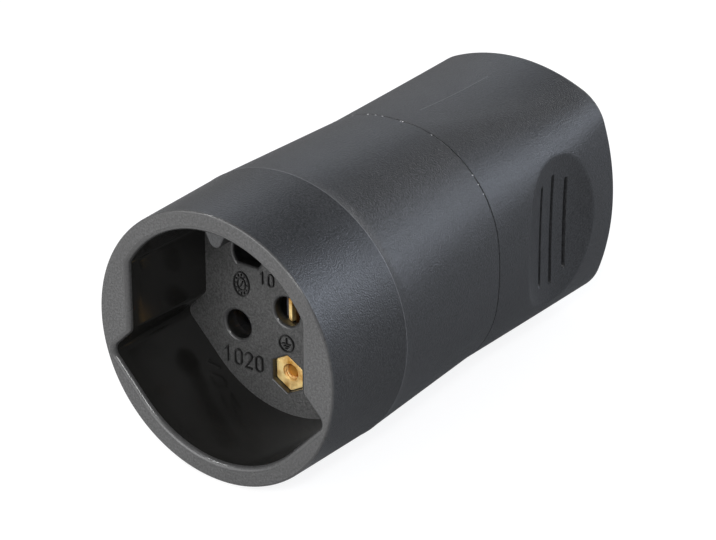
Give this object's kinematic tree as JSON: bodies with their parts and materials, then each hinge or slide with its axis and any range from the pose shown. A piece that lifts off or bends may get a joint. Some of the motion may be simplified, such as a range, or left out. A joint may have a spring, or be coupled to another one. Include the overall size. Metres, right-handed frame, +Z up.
{
  "type": "inline socket connector",
  "caption": "Inline mains socket connector: a round collar with a deep keyed recess and pin holes, and a pillow-shaped handle with ribbed finger scoops.",
  "frame": {"origin": "centre of the socket's mouth, in the plane of the rim", "axes": "+Y along the connector from the mouth to the cord inlet, +Z up through the key rib, +X to the right seen from the front"},
  "size_m": [0.0448, 0.0805, 0.0446],
  "materials": {
    "housing_plastic": "fine spark-eroded grain, charcoal",
    "carrier_plastic": "moulded, dull black",
    "brass": "bright turned and stamped brass",
    "spring_steel": "blued spring strip",
    "plated_steel": "zinc plated"
  },
  "bodies": {
    "root": {"front_housing": "housing_plastic", "rear_cap": "housing_plastic", "contact_carrier": "carrier_plastic", "contact_retainer": "carrier_plastic", "cord_clamp_bar": "carrier_plastic", "hex_nut": "brass", "line_contact": "brass", "neutral_contact": "brass", "earth_contact": "brass", "line_spring_clip": "spring_steel", "neutral_spring_clip": "spring_steel", "earth_spring_clip": "spring_steel", "line_terminal_screw": "plated_steel", "neutral_terminal_screw": "plated_steel", "earth_terminal_screw": "plated_steel", "carrier_screw_left": "plated_steel", "carrier_screw_right": "plated_steel", "cord_clamp_screw_left": "plated_steel", "cord_clamp_screw_right": "plated_steel", "assembly_screw": "brass", "assembly_washer": "plated_steel"}
  },
  "joints": []
}
